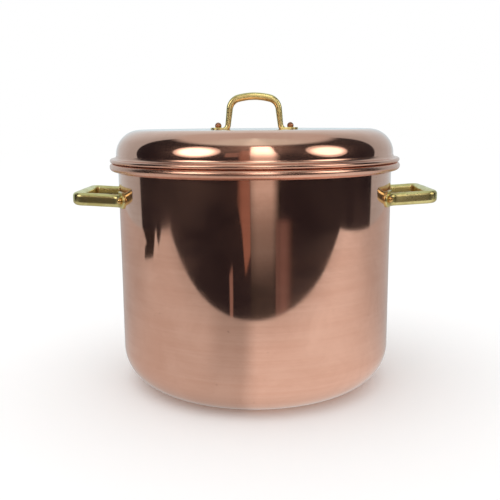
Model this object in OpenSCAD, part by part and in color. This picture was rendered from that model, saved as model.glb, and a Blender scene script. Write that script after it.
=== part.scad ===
// Lidded copper soup kettle with two riveted brass side handles and a brass lid handle.
// Millimetres, +Z up, the side handles lie along X, the origin is the centre of the base.

/* [Kettle] */
// Outer radius of the copper body
kettle_r = 150; // [120:1:190]
// Height of the kettle from the table to the top of its rim
kettle_h = 245; // [190:1:300]
// Thickness of the copper sheet of the body
kettle_wall = 1.5; // [1:0.1:2]
// Outer radius of the turn from the base into the side
base_turn_r = 42; // [20:1:60]
// Thickness of the tin lining of the body
kettle_tin = 0.25; // [0.15:0.05:0.5]

/* [Kettle rim] */
// Diameter of the wire that the rim is rolled around
rim_wire_d = 5.4; // [3:0.1:5.8]
// How far the rolled rim stands out from the side
rim_reach = 9; // [8:0.1:12]
// Outer radius of the turn from the side into the rim, at the mouth
mouth_turn_r = 3; // [2.2:0.1:4]
// Slope of the tucked edge under the rim, from the horizontal, in degrees
rim_tuck_slope = 17; // [12:1:40]

/* [Side handles] */
// How far a handle stands out from the side of the kettle
handle_reach = 45; // [38:1:60]
// Width of a handle across its two arms
handle_w = 99.5; // [80:0.5:110]
// Depth of the middle of the feet below the top of the rim
handle_drop = 37.7; // [30:0.1:70]
// Height of the middle of the feet above the middle of the bar beside them
handle_foot_lift = 1.8; // [0:0.1:2.5]
// Upward slope of a handle away from the side, in degrees
handle_slope = 3.3; // [0:0.1:6]
// Width of the cast bar, seen from above
handle_bar_w = 8.8; // [8:0.1:11]
// Height of the cast bar
handle_bar_h = 13.9; // [9:0.1:16]
// Radius of the rounded edges of the bar
handle_edge_r = 3.8; // [1:0.1:3.9]
// Outer radius of the two bends of the bar
handle_bend_r = 12; // [11.5:0.1:16]
// Radius of the flare from an arm into its foot
handle_flare_r = 9; // [4:0.1:10]
// Thickness of a foot
handle_foot_t = 2; // [1.5:0.1:3]
// Height of a foot on the side of the kettle
handle_foot_h = 17; // [13:0.1:20]

/* [Lid] */
// Thickness of the copper sheet of the lid
lid_wall = 1; // [0.8:0.1:1.2]
// Thickness of the tin lining of the lid
lid_tin = 0.25; // [0.15:0.05:0.5]
// How far the side of the lid stands out beyond the side of the kettle
lid_overhang = 1.7; // [0:0.1:3]
// Radius of the shoulder between the top and the side of the lid
lid_shoulder_r = 26.4; // [15:0.1:40]
// Height of the straight side between the hollow corner and the shoulder
lid_side_h = 0.3; // [0.3:0.1:20]
// Diameter of the wire that the edge of the lid is rolled around
lid_wire_d = 2.2; // [1.8:0.1:2.6]
// How far the rolled edge stands out from the side of the lid
lid_reach = 6.8; // [6.4:0.1:9]
// Radius of the hollow corner where the side meets the rolled edge
lid_hollow_r = 3.7; // [0.8:0.1:3.7]
// Gap between the rim of the kettle and the lid that rests on it
lid_seat_gap = 0.3; // [0.1:0.05:0.5]

/* [Lid collar] */
// Thickness of the sheet of the collar
collar_wall = 1; // [0.6:0.1:1.5]
// How far the collar reaches down into the mouth
collar_depth = 12; // [8:1:25]
// How far up the shoulder of the lid the soldered band follows it, in degrees
collar_band_turn = 20; // [10:1:35]
// Height of the step between the band and the part in the mouth
collar_step_h = 3; // [2:0.1:5]
// Clearance between the collar and the lining of the mouth
collar_fit = 1; // [0.5:0.1:2]

/* [Lid handle] */
// Height of the handle above the top of the lid
bail_h = 39.7; // [36:0.1:60]
// Outer radius of the arched top of the bar
bail_arch_r = 75; // [60:1:120]
// Distance between the centres of the two bends
bail_bend_gap = 27.2; // [20:0.1:40]
// Outer radius of the two bends of the bar
bail_bend_r = 17; // [12:0.5:22]
// Outward slope of the legs, in degrees
bail_splay = 5; // [2:0.5:12]
// Height of the bar across its arched top
bail_top_t = 8.2; // [6:0.1:10]
// Thickness of a leg where it meets the lid
bail_leg_t = 6.3; // [5:0.1:8]
// Depth of the bar from front to back
bail_depth = 11; // [8:0.1:14]
// Radius of the rounded edges of the bar
bail_edge_r = 2.4; // [1:0.1:2.4]
// Radius of the flare from a leg into its foot
bail_flare_r = 3.6; // [3:0.1:8]
// Thickness of a foot
bail_foot_t = 1.8; // [1.2:0.1:3]
// Width of a foot
bail_foot_w = 17; // [13:0.1:20]

/* [Rivets] */
// Diameter of the shanks
rivet_d = 4.8; // [3:0.1:5]
// Diameter of the round heads
rivet_head_d = 7.4; // [6:0.1:9]
// Height of the round heads on the side handles
rivet_head_h = 4.7; // [3.8:0.1:6]
// Height of the round heads on the lid handle
lid_rivet_head_h = 5.6; // [4.6:0.1:6]
// Diameter of the hammered ends inside
rivet_tail_d = 8.4; // [7:0.1:10]
// Height of the hammered ends inside
rivet_tail_h = 1.3; // [0.8:0.1:2]
// Space between a head and the flare beside it
rivet_margin = 0.5; // [0.3:0.1:4]
// How much further the rivets of the side handles stand from the flare
side_rivet_offset = 0.5; // [0:0.1:4]
// Clearance around a shank in its hole
rivet_fit = 0.05; // [0.02:0.01:0.2]

/* [Hidden] */

// Faces around a round form
$fn = 96;
// Straight pieces that a sector of a ring is cut with
SECTOR_CUTS = 4;
// Steps of a cast bar: around a rounded edge, and along a flare, a bend and half an arch
EDGE_STEPS = 4;
FLARE_STEPS = 6;
BEND_STEPS = 10;
ARCH_STEPS = 5;
// Degrees from the end of the arch to the first station of the bend
FIRST_BEND = 6;
// Play of a wire in its curl, and gap where a curled sheet ends
wire_fit = 0.1;
tuck_gap = 0.3;
// Length by which a cutting form runs past what it cuts
past = 1;
// Depth by which a lofted flare bites into the foot that it runs out on
flare_bite = 0.05;

// Rolled rim of the kettle: outer radius of the curl and the centre of its wire
rim_curl_r = rim_wire_d / 2 + kettle_wall;
rim_wire_at = [kettle_r + rim_reach - rim_curl_r, kettle_h - rim_curl_r];
mouth_turn_at = [kettle_r - kettle_wall + mouth_turn_r, kettle_h - mouth_turn_r];
mouth_r = kettle_r - kettle_wall - kettle_tin;

// Rolled edge of the lid
lid_bottom = kettle_h + lid_seat_gap;
lid_r = kettle_r + lid_overhang;
lid_curl_r = lid_wire_d / 2 + lid_wall;
lid_wire_at = [lid_r + lid_reach - lid_curl_r, lid_bottom + lid_curl_r];
lid_edge_top = lid_bottom + 2 * lid_curl_r;
lid_hollow_at = [lid_r + lid_hollow_r, lid_edge_top + lid_hollow_r];

// Top of the lid, and the centre of its shoulder
shoulder_at = [lid_r - lid_shoulder_r, lid_hollow_at.y + lid_side_h];
lid_top = shoulder_at.y + lid_shoulder_r;

// Side handles: height of the feet, height of the bar where it meets them, and the centre
// of the flare, which touches an arm and the face of a foot
handle_z = kettle_h - handle_drop;
handle_bar_z = handle_z - handle_foot_lift;
foot_face_r = kettle_r + handle_foot_t;
flare_r = foot_face_r + handle_flare_r - flare_bite;
flare_y = handle_w / 2 + handle_flare_r;
flare_at = [sqrt(pow(flare_r, 2) - pow(flare_y, 2)), flare_y];
flare_angle = atan2(flare_at.y, flare_at.x);
flare_end_x = foot_face_r * cos(flare_angle);
head_room = rivet_head_d / 2 + rivet_margin;
side_rivet_angle = flare_angle + (head_room + side_rivet_offset) / foot_face_r * 180 / PI;

// Lid handle: centres of the arched top, of a bend and of a flare, in X and Z
arch_at = [0, lid_top + bail_h - bail_arch_r];
bend_angle = asin(bail_bend_gap / 2 / (bail_arch_r - bail_bend_r));
bend_at = arch_at + (bail_arch_r - bail_bend_r) * [sin(bend_angle), cos(bend_angle)];
leg_out = [cos(bail_splay), sin(bail_splay)];
leg_down = [sin(bail_splay), -cos(bail_splay)];
leg_top = bend_at + bail_bend_r * leg_out;
bail_flare_z = lid_top + bail_foot_t + bail_flare_r - flare_bite;
leg_length = (bail_flare_z - leg_top.y - bail_flare_r * leg_out.y) / leg_down.y;
bail_flare_at = leg_top + leg_length * leg_down + bail_flare_r * leg_out;
lid_rivet_x = bail_flare_at.x + head_room;

// Stations of a cast bar along an arc, whose radius is negative where the outer face is
// hollow: each is X, Y, the angle that the outer face looks at, and the thickness there
function arc_stations(at, r, from, to, steps, t_from, t_to) = [
    for (k = [0 : steps])
        let (u = k / steps, a = from + u * (to - from))
            [at.x + r * cos(a), at.y + r * sin(a), a, t_from + u * (t_to - t_from)]
];

// The same stations seen in a mirror that swaps left and right, or front and back
function swap_x(stations) = [
    for (k = [len(stations) - 1 : -1 : 0])
        let (s = stations[k]) [-s.x, s.y, 180 - s[2], s[3]]
];
function swap_y(stations) = [
    for (k = [len(stations) - 1 : -1 : 0])
        let (s = stations[k]) [s.x, -s.y, -s[2], s[3]]
];

// Rear half of a side handle from above: flare, arm and bend, up to the middle of the grip
handle_half = concat(
    arc_stations(flare_at, -handle_flare_r, flare_angle, 90, FLARE_STEPS,
        handle_bar_w, handle_bar_w),
    arc_stations([kettle_r + handle_reach - handle_bend_r, handle_w / 2 - handle_bend_r],
        handle_bend_r, 90, 0, BEND_STEPS, handle_bar_w, handle_bar_w)
);
handle_stations = concat(handle_half, swap_y(handle_half));

// Right half of the lid handle from the front: half arch, bend, tapered leg and flare
bail_half = concat(
    arc_stations(arch_at, bail_arch_r, 90 - bend_angle / ARCH_STEPS, 90 - bend_angle,
        ARCH_STEPS - 1, bail_top_t, bail_top_t),
    arc_stations(bend_at, bail_bend_r, 90 - bend_angle - FIRST_BEND, bail_splay,
        BEND_STEPS - 1, bail_top_t, (bail_top_t + bail_leg_t) / 2),
    arc_stations(bail_flare_at, -bail_flare_r, bail_splay, 90, FLARE_STEPS,
        bail_leg_t, bail_leg_t)
);
bail_stations = concat(swap_x(bail_half), bail_half);

// Section of a bar as points around it: X is outwards from the outer face, Y along the depth
function bar_ring(thick, depth, edge_r) = [
    for (q = [0 : 3], k = [0 : EDGE_STEPS])
        let (
            a = 90 * (q + k / EDGE_STEPS),
            x = q == 0 || q == 3 ? -edge_r : edge_r - thick,
            y = (q < 2 ? 1 : -1) * (depth / 2 - edge_r)
        ) [x + edge_r * cos(a), y + edge_r * sin(a)]
];

// ---- Flat forms that the solids are turned and drawn from ----

// Part of a flat ring between two angles
module ring_sector(outer_r, inner_r, from, to) {
    reach = 2 * outer_r;
    step = (to - from) / SECTOR_CUTS;
    intersection() {
        difference() {
            circle(r = outer_r);
            circle(r = inner_r);
        }
        polygon(concat([[0, 0]], [
            for (k = [0 : SECTOR_CUTS])
                reach * [cos(from + k * step), sin(from + k * step)]
        ]));
    }
}

// One layer of the body, from its centre over the turn and up the side
module kettle_layer(inset, thick, top) {
    turn_r = base_turn_r - inset;
    translate([0, inset]) square([kettle_r - base_turn_r, thick]);
    translate([kettle_r - base_turn_r, base_turn_r]) ring_sector(turn_r, turn_r - thick, -90, 0);
    translate([kettle_r - inset - thick, base_turn_r]) square([thick, top - base_turn_r]);
}

// Sheet of the rim: out from the mouth, around the wire and back under it to the side
module rim_curl() {
    tuck_out = [sin(rim_tuck_slope), -cos(rim_tuck_slope)];
    tuck_in = [-cos(rim_tuck_slope), -sin(rim_tuck_slope)];
    outer = rim_wire_at + rim_curl_r * tuck_out;
    inner = rim_wire_at + rim_wire_d / 2 * tuck_out;
    end_x = kettle_r + tuck_gap;
    translate(mouth_turn_at) ring_sector(mouth_turn_r, mouth_turn_r - kettle_wall, 90, 180);
    translate([mouth_turn_at.x, kettle_h - kettle_wall])
        square([rim_wire_at.x - mouth_turn_at.x, kettle_wall]);
    translate(rim_wire_at) ring_sector(rim_curl_r, rim_wire_d / 2, rim_tuck_slope - 90, 90);
    polygon([
        outer,
        inner,
        inner + (end_x - inner.x) / tuck_in.x * tuck_in,
        outer + (end_x - outer.x) / tuck_in.x * tuck_in,
    ]);
}

// One layer of the lid, from its centre over the shoulder and down the side
module lid_layer(inset, thick) {
    turn_r = lid_shoulder_r - inset;
    translate([0, lid_top - inset - thick]) square([shoulder_at.x, thick]);
    translate(shoulder_at) ring_sector(turn_r, turn_r - thick, 0, 90);
    translate([lid_r - inset - thick, lid_hollow_at.y])
        square([thick, shoulder_at.y - lid_hollow_at.y]);
}

// Sheet of the edge of the lid: out from the side, around the wire and back under it
module lid_curl() {
    translate(lid_hollow_at) ring_sector(lid_hollow_r + lid_wall, lid_hollow_r, 180, 270);
    translate([lid_hollow_at.x, lid_edge_top - lid_wall])
        square([lid_wire_at.x - lid_hollow_at.x, lid_wall]);
    translate(lid_wire_at) ring_sector(lid_curl_r, lid_wire_d / 2, -90, 90);
    translate([lid_r + tuck_gap, lid_bottom])
        square([lid_wire_at.x - lid_r - tuck_gap, lid_wall]);
}

// ---- Cast bars ----

// Bar lofted through its stations, which lie in the XY plane and run clockwise. Beyond
// from_x it climbs along Z by the given rise.
module cast_bar(stations, depth, edge_r, rise = 0, from_x = 0) {
    sides = 4 * (EDGE_STEPS + 1);
    ends = len(stations) - 1;
    points = [
        for (s = stations, p = bar_ring(s[3], depth, edge_r))
            let (x = s.x + p.x * cos(s[2]))
                [x, s.y + p.x * sin(s[2]), p.y + rise * (x - from_x)]
    ];
    walls = [
        for (r = [0 : ends - 1], k = [0 : sides - 1])
            let (a = r * sides + k, b = r * sides + (k + 1) % sides)
                each [[a, b + sides, b], [a, a + sides, b + sides]]
    ];
    first = [for (k = [0 : sides - 1]) k];
    last = [for (k = [0 : sides - 1]) ends * sides + sides - 1 - k];
    polyhedron(points, concat(walls, [first, last]));
}

// ---- Rivets ----

// Round head that stands on Z = 0, and reaches below it by the given depth
module rivet_head(h, sunk = 0) {
    ball_r = rivet_head_d / 2;
    rotate_extrude() intersection() {
        translate([0, h - ball_r]) circle(r = ball_r);
        translate([0, -sunk]) square([ball_r, h + sunk]);
    }
}

// Hammered end that hangs from Z = 0: a flat button with a rounded lower edge
module rivet_tail() {
    flat_r = rivet_tail_d / 2 - rivet_tail_h;
    rotate_extrude() {
        translate([0, -rivet_tail_h]) square([flat_r, rivet_tail_h]);
        intersection() {
            translate([flat_r, 0]) circle(r = rivet_tail_h);
            translate([flat_r, -rivet_tail_h]) square(rivet_tail_h);
        }
    }
}

// ---- Kettle ----

// Places its children at a rivet of a side handle, with +Z pointing away from the axis.
// side is -1 on the left and 1 on the right, end is -1 in front and 1 behind.
module at_side_rivet(side, end) {
    turn = side > 0 ? 0 : 180;
    rotate([0, 0, turn + side * end * side_rivet_angle])
        translate([0, 0, handle_z]) rotate([0, 90, 0]) children();
}

module side_rivet_holes(side) {
    for (end = [-1, 1])
        at_side_rivet(side, end) cylinder(d = rivet_d + 2 * rivet_fit, h = kettle_r + handle_reach);
}

module kettle_body() {
    color("#C98B6E") difference() {
        rotate_extrude() {
            kettle_layer(0, kettle_wall, mouth_turn_at.y);
            rim_curl();
        }
        side_rivet_holes(-1);
        side_rivet_holes(1);
    }
}

module kettle_lining() {
    color("#C9CCCE") difference() {
        rotate_extrude() kettle_layer(kettle_wall, kettle_tin, mouth_turn_at.y);
        side_rivet_holes(-1);
        side_rivet_holes(1);
    }
}

module kettle_rim_wire() {
    color("#8C9094") rotate_extrude() translate(rim_wire_at) circle(r = rim_wire_d / 2 - wire_fit);
}

// Rear foot of the right handle, which ends round behind its rivet and follows the side.
// It runs into the kettle, where the side is cut out of it.
module handle_foot() {
    reach = foot_face_r * sin(side_rivet_angle) - handle_w / 2 + handle_bar_w / 2;
    intersection() {
        translate([0, 0, -handle_foot_h]) cylinder(r = foot_face_r, h = 2 * handle_foot_h);
        rotate([0, 0, side_rivet_angle]) rotate([90, 0, 90])
            translate([0, 0, kettle_r - handle_foot_h])
                linear_extrude(handle_foot_h + handle_reach) {
                    circle(d = handle_foot_h);
                    translate([-reach, -handle_foot_h / 2]) square([reach, handle_foot_h]);
                }
    }
}

module side_handle(side) {
    color("#B5A55A") difference() {
        mirror([side > 0 ? 0 : 1, 0, 0]) {
            translate([0, 0, handle_bar_z])
                cast_bar(handle_stations, handle_bar_h, handle_edge_r, tan(handle_slope), flare_end_x);
            for (flip = [0, 1])
                mirror([0, flip, 0]) translate([0, 0, handle_z]) handle_foot();
        }
        cylinder(r = kettle_r, h = kettle_h);
        side_rivet_holes(side);
    }
}

module side_rivet(side, end) {
    color("#B98A4E") {
        difference() {
            at_side_rivet(side, end) translate([0, 0, foot_face_r]) rivet_head(rivet_head_h, past);
            cylinder(r = foot_face_r, h = kettle_h);
        }
        at_side_rivet(side, end) translate([0, 0, mouth_r - rivet_tail_h / 2])
            cylinder(d = rivet_d, h = foot_face_r - mouth_r + rivet_tail_h);
        intersection() {
            at_side_rivet(side, end) translate([0, 0, mouth_r]) rivet_tail();
            cylinder(r = mouth_r, h = kettle_h);
        }
    }
}

// ---- Lid ----

module lid_rivet_holes() {
    for (side = [-1, 1])
        translate([side * lid_rivet_x, 0, shoulder_at.y])
            cylinder(d = rivet_d + 2 * rivet_fit, h = lid_top + bail_h - shoulder_at.y);
}

module lid_shell() {
    color("#C98B6E") difference() {
        rotate_extrude() {
            lid_layer(0, lid_wall);
            lid_curl();
        }
        lid_rivet_holes();
    }
}

module lid_lining() {
    color("#C9CCCE") difference() {
        rotate_extrude() lid_layer(lid_wall, lid_tin);
        lid_rivet_holes();
    }
}

module lid_rim_wire() {
    color("#8C9094") rotate_extrude() translate(lid_wire_at) circle(r = lid_wire_d / 2 - wire_fit);
}

// Ring soldered inside the shoulder of the lid, which steps in and drops into the mouth
module lid_collar() {
    inset = lid_wall + lid_tin;
    band_r = lid_r - inset;
    drop_r = mouth_r - collar_fit;
    step_top = lid_hollow_at.y;
    step_bottom = step_top - collar_step_h;
    turn_r = lid_shoulder_r - inset;
    bottom = kettle_h - collar_depth;
    color("#C9CCCE") rotate_extrude() {
        translate(shoulder_at) ring_sector(turn_r, turn_r - collar_wall, 0, collar_band_turn);
        polygon([
            [band_r - collar_wall, shoulder_at.y],
            [band_r - collar_wall, step_top],
            [drop_r - collar_wall, step_bottom],
            [drop_r - collar_wall, bottom],
            [drop_r, bottom],
            [drop_r, step_bottom],
            [band_r, step_top],
            [band_r, shoulder_at.y],
        ]);
    }
}

// Right foot, which lies on the lid and ends round beyond its rivet
module bail_foot() {
    leg_x = bail_flare_at.x - bail_flare_r - bail_leg_t / 2;
    translate([0, 0, lid_top]) {
        translate([lid_rivet_x, 0, 0]) cylinder(d = bail_foot_w, h = bail_foot_t);
        translate([leg_x, -bail_foot_w / 2, 0])
            cube([lid_rivet_x - leg_x, bail_foot_w, bail_foot_t]);
    }
}

module lid_handle() {
    color("#B5A55A") difference() {
        union() {
            rotate([90, 0, 0]) cast_bar(bail_stations, bail_depth, bail_edge_r);
            for (flip = [0, 1]) mirror([flip, 0, 0]) bail_foot();
        }
        translate([0, 0, shoulder_at.y]) cylinder(r = kettle_r, h = lid_top - shoulder_at.y);
        lid_rivet_holes();
    }
}

module lid_rivet(side) {
    inner_z = lid_top - lid_wall - lid_tin;
    outer_z = lid_top + bail_foot_t;
    color("#8A5F42") translate([side * lid_rivet_x, 0, 0]) {
        translate([0, 0, outer_z]) rivet_head(lid_rivet_head_h);
        translate([0, 0, inner_z]) cylinder(d = rivet_d, h = outer_z - inner_z);
        translate([0, 0, inner_z]) rivet_tail();
    }
}

kettle_body();
kettle_lining();
kettle_rim_wire();
side_handle(-1);  // left_handle
side_rivet(-1, -1);  // left_front_rivet
side_rivet(-1, 1);  // left_rear_rivet
side_handle(1);  // right_handle
side_rivet(1, -1);  // right_front_rivet
side_rivet(1, 1);  // right_rear_rivet
lid_shell();
lid_lining();
lid_rim_wire();
lid_collar();
lid_handle();
lid_rivet(-1);  // lid_left_rivet
lid_rivet(1);  // lid_right_rivet
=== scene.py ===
"""Lidded copper soup kettle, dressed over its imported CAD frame.

Metres, +Z up. The side handles lie along X, the front looks along -Y, and the origin is the
centre of the base. Every visible piece rides on the body kettle or on the body lid.
"""
import logging
import math
from collections.abc import Callable
from dataclasses import dataclass
from enum import Enum
from functools import reduce
from typing import NamedTuple

import bmesh
import bpy
from mathutils import Matrix, Vector, noise


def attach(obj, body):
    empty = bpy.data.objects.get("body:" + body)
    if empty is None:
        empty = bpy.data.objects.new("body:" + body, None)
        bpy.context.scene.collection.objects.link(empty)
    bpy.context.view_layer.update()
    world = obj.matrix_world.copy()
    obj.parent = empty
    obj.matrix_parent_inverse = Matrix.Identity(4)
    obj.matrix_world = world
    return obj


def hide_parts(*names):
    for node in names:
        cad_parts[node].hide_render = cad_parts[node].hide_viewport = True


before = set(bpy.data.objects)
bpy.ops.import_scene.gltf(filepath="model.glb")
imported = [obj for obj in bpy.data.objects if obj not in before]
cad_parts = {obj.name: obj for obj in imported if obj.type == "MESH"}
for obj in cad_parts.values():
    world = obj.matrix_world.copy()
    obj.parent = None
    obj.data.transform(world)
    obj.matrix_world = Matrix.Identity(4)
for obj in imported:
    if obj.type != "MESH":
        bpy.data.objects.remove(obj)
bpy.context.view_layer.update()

LOG = logging.getLogger("soup_kettle")
MM = 0.001
DOUBLES = 1e-6           # points closer than this are merged
NO_GAP = 1e-7            # points of a profile closer than this are one
FACE_STEP = 5 * MM       # longest step of a profile along an outer face
INSIDE_STEP = 12 * MM    # longest step along an inner face
EDGE_STEP = 1 * MM       # longest step around a rolled or rounded edge
BAR_STEP = 2 * MM        # longest step along a cast bar
FOOT_STEP = 1.5 * MM     # longest step around a foot
BAR_EDGE_STEPS = 6       # steps around each rounded edge of a cast bar
FOOT_ROUND_STEPS = 24    # steps around the round end of a foot
SOFT_EDGE = (30, 60, 90)    # degrees at which the rounded edge of a foot has a ring
FILED_IN = 0.6           # a noise is mostly below this, so filing mostly takes away,
PUSHED_IN = 0.62         # a sheet is mostly pushed in,
DENTED_IN = 0.9          # and a hammer dents, and each stays in its box
CROWN = 0.07             # how much the faces of a cast bar swell, as a share of its half width
SHEET_CREASE = 40        # a sheet shows an edge where its faces meet at more degrees
CASTING_CREASE = 38
RIVET_CREASE = 60
MARKS = ("outer", "recess", "worked")    # what the rings of a turned sheet carry


class Body(Enum):
    """The two bodies of the frame that pieces ride on."""

    KETTLE = "kettle"
    LID = "lid"


class Lay(Enum):
    """Way in which polishing lines step along a turned sheet."""

    UP_AND_OUT = 1.0
    UP_AND_IN = -1.0


class Work(Enum):
    """Work that a node does on numbers or colours: its type, and the setting that asks for it."""

    PLUS = ("ShaderNodeMath", "operation", "ADD")
    MINUS = ("ShaderNodeMath", "operation", "SUBTRACT")
    TIMES = ("ShaderNodeMath", "operation", "MULTIPLY")
    OVER = ("ShaderNodeMath", "operation", "DIVIDE")
    POWER = ("ShaderNodeMath", "operation", "POWER")
    ROOT = ("ShaderNodeMath", "operation", "SQRT")
    SIZE = ("ShaderNodeMath", "operation", "ABSOLUTE")
    NEAREST = ("ShaderNodeMath", "operation", "ROUND")
    COSINE = ("ShaderNodeMath", "operation", "COSINE")
    SINE = ("ShaderNodeMath", "operation", "SINE")
    ANGLE = ("ShaderNodeMath", "operation", "ARCTAN2")
    STRETCH = ("ShaderNodeVectorMath", "operation", "SCALE")
    FADE = ("ShaderNodeMapRange", "interpolation_type", "SMOOTHSTEP")
    MIX = ("ShaderNodeMix", "data_type", "RGBA")


class Fade(NamedTuple):
    """Smooth change from start to stop, while what is read goes from low to high."""

    low: float
    high: float
    start: float
    stop: float


# A noise seldom leaves this range, so it is spread to the whole of 0 to 1.
MOTTLE = Fade(0.38, 0.64, 0.0, 1.0)


# ---------------------------------------------------------------- small helpers


def srgb(code: str) -> tuple[float, float, float, float]:
    """Turns an sRGB hex colour to linear RGBA.

    Args:
        code: Colour as "#RRGGBB".

    Returns:
        Linear red, green, blue and an alpha of 1.
    """
    parts = [int(code[i:i + 2], 16) / 255 for i in (1, 3, 5)]
    linear = [c / 12.92 if c <= 0.04045 else ((c + 0.055) / 1.055) ** 2.4 for c in parts]
    return (*linear, 1.0)


def add(tree: bpy.types.NodeTree, kind: str | Work, *values: object,
        inputs: dict | None = None, **settings: object) -> bpy.types.Node:
    """Adds one node with its settings and links.

    A node given as a value stands for its first output, and "#RRGGBB" for its linear colour.

    Args:
        tree: Node tree that takes the node.
        kind: Type name of the node, or the work that it does.
        *values: Values of its inputs in order, as they stand with its settings.
        inputs: Values of further inputs, by socket name or number.
        **settings: Attributes of the node to set.

    Returns:
        The new node.
    """
    if isinstance(kind, Work):
        kind, setting, choice = kind.value
        settings[setting] = choice
    node = tree.nodes.new(kind)
    for name, value in settings.items():
        setattr(node, name, value)
    order = [k for k, socket in enumerate(node.inputs) if socket.enabled]
    for key, value in [*zip(order, values), *(inputs or {}).items()]:
        if isinstance(value, bpy.types.Node):
            value = next(socket for socket in value.outputs if socket.enabled)
        if isinstance(value, bpy.types.NodeSocket):
            tree.links.new(value, node.inputs[key])
        else:
            colour = isinstance(value, str) and value.startswith("#")
            node.inputs[key].default_value = srgb(value) if colour else value
    return node


def join(tree: bpy.types.NodeTree, work: Work, *values: object) -> bpy.types.Node:
    """Works a row of values together, one after the other.

    Args:
        tree: Node tree that takes the nodes.
        work: What is done with each two values, such as a sum.
        *values: Two or more numbers, nodes or sockets.

    Returns:
        The last node.
    """
    return reduce(lambda done, value: add(tree, work, done, value), values)


def fades(tree: bpy.types.NodeTree, work: Work, *pairs: tuple[object, Fade]) -> bpy.types.Node:
    """Works several fades together.

    Args:
        tree: Node tree that takes the nodes.
        work: What is done with each two fades.
        *pairs: What each fade reads, and the fade.

    Returns:
        The last node.
    """
    return join(tree, work, *(add(tree, Work.FADE, read, *fade) for read, fade in pairs))


def per_metre(size_mm: float) -> float:
    """Number of waves in a metre of a pattern whose waves have this size in millimetres."""
    return 1 / (size_mm * MM)


def make_material(name: str, surface: Callable) -> bpy.types.Material:
    """Makes a material.

    Args:
        name: Name of the material.
        surface: Function that is given the empty node tree and returns its last shader.

    Returns:
        The material.
    """
    material = bpy.data.materials.new(name)
    material.use_nodes = True
    tree = material.node_tree
    tree.nodes.clear()
    add(tree, "ShaderNodeOutputMaterial", surface(tree))
    return material


def make_tree(name: str, inputs: dict[str, str], output: str
              ) -> tuple[bpy.types.NodeTree, bpy.types.bpy_prop_collection]:
    """Starts a geometry node tree with its named inputs and its output.

    Args:
        name: Name of the tree.
        inputs: Name of each input and the kind of its socket.
        output: Name of the geometry that it gives.

    Returns:
        The tree, and the sockets of its inputs.
    """
    tree = bpy.data.node_groups.new(name, "GeometryNodeTree")
    for label, kind in inputs.items():
        tree.interface.new_socket(label, in_out="INPUT", socket_type=f"NodeSocket{kind}")
    tree.interface.new_socket(output, in_out="OUTPUT", socket_type="NodeSocketGeometry")
    return tree, add(tree, "NodeGroupInput").outputs


def link_object(name: str, data: bpy.types.ID) -> bpy.types.Object:
    """Puts a mesh, a camera or a light into the scene as an object at the origin.

    Args:
        name: Name of the object and its data.
        data: The data. A mesh has its place in its points.

    Returns:
        The new object.
    """
    piece = bpy.data.objects.new(name, data)
    data.name = name
    bpy.context.scene.collection.objects.link(piece)
    return piece


def turn_outwards(mesh: bpy.types.Mesh) -> None:
    """Merges doubles and turns the faces of a closed mesh outwards.

    Args:
        mesh: Mesh to mend in place.
    """
    work = bmesh.new()
    work.from_mesh(mesh)
    bmesh.ops.remove_doubles(work, verts=work.verts, dist=DOUBLES)
    bmesh.ops.recalc_face_normals(work, faces=work.faces)
    work.to_mesh(mesh)
    work.free()
    mesh.update()


def shade(mesh: bpy.types.Mesh, crease: float) -> None:
    """Shades a mesh smooth, with an edge where faces meet at more than an angle.

    Args:
        mesh: Mesh to shade.
        crease: Angle in degrees.
    """
    mesh.shade_smooth()
    mesh.set_sharp_from_angle(angle=math.radians(crease))


def bake_modifiers(piece: bpy.types.Object) -> None:
    """Turns what the modifiers of an object make into its plain mesh.

    Args:
        piece: Object whose modifiers are applied and removed.
    """
    graph = bpy.context.evaluated_depsgraph_get()
    made = bpy.data.meshes.new_from_object(piece.evaluated_get(graph))
    piece.modifiers.clear()
    old = piece.data
    piece.data = made
    made.name = piece.name
    bpy.data.meshes.remove(old)


def arc(centre: tuple[float, float], radius: float, start: float, stop: float,
        steps: int) -> list[tuple[float, float]]:
    """Points along an arc in a plane.

    Args:
        centre: Centre of the arc.
        radius: Radius of the arc.
        start: First angle in degrees.
        stop: Last angle in degrees.
        steps: Number of steps between them.

    Returns:
        steps + 1 points from start to stop.
    """
    turn = [math.radians(start + (stop - start) * k / steps) for k in range(steps + 1)]
    return [(centre[0] + radius * math.cos(a), centre[1] + radius * math.sin(a)) for a in turn]


def fill_in(points: list[tuple[float, float]], longest: float) -> list[tuple[float, float]]:
    """Cuts the long straights of a line of points into shorter steps.

    Args:
        points: Line of points, each apart from the next.
        longest: Longest step that stays.

    Returns:
        The line with its extra points.
    """
    out = [points[0]]
    for a, b in zip(points, points[1:]):
        gap = math.dist(a, b)
        if gap < NO_GAP:
            continue
        count = max(1, math.ceil(gap / longest))
        out += [(a[0] + (b[0] - a[0]) * k / count, a[1] + (b[1] - a[1]) * k / count)
                for k in range(1, count + 1)]
    return out


# ---------------------------------------------------------------- finishes


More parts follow.
